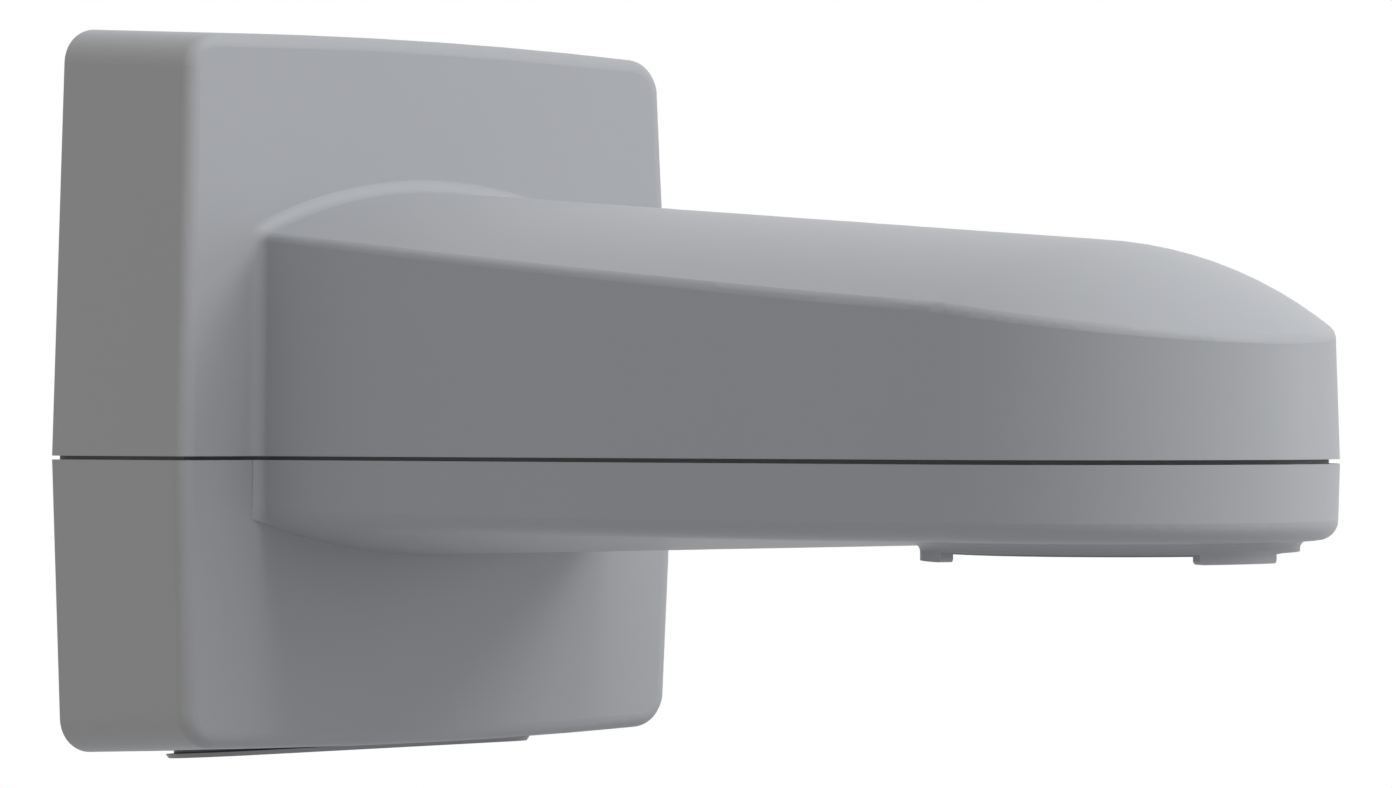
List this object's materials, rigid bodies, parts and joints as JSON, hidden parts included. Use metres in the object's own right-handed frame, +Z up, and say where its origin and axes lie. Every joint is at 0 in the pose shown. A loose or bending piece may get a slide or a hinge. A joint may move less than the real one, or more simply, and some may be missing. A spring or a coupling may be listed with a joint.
{
  "type": "camera wall bracket",
  "caption": "Cast wall bracket with a junction box and a hollow, tapering arm that carries a security camera under its round tip.",
  "frame": {"origin": "centre of the four wall screw holes, on the plane of the wall", "axes": "+Z up, the arm reaches from the wall along -Y, +X to the right for someone who faces the wall"},
  "size_m": [0.175, 0.4101, 0.2159],
  "materials": {
    "casting_paint": "fine matt grey powder coat",
    "cover_paint": "fine matt grey powder coat",
    "plate_casting": "as cast, blasted",
    "gasket_rubber": "matt",
    "screw_steel": "plain stainless",
    "sheet_steel": "stainless sheet, satin",
    "earth_brass": "plain"
  },
  "bodies": {
    "root": {"upper_housing": "casting_paint", "lower_housing": "casting_paint", "seam_gasket": "gasket_rubber", "wall_plate": "plate_casting", "wall_seal": "gasket_rubber", "cable_grommet": "gasket_rubber", "plate_screws": "screw_steel", "box_screws": "screw_steel", "arm_screws": "screw_steel", "tip_screws": "screw_steel", "inlet_gasket": "gasket_rubber", "inlet_cover": "cover_paint", "inlet_screws": "screw_steel", "bayonet_ring": "sheet_steel", "bayonet_screws": "screw_steel", "camera_seal": "gasket_rubber", "safety_hook": "sheet_steel", "safety_hook_screw": "screw_steel", "cable_clamp": "sheet_steel", "clamp_screws": "screw_steel", "earth_washer": "earth_brass", "earth_screw": "screw_steel"}
  },
  "joints": []
}
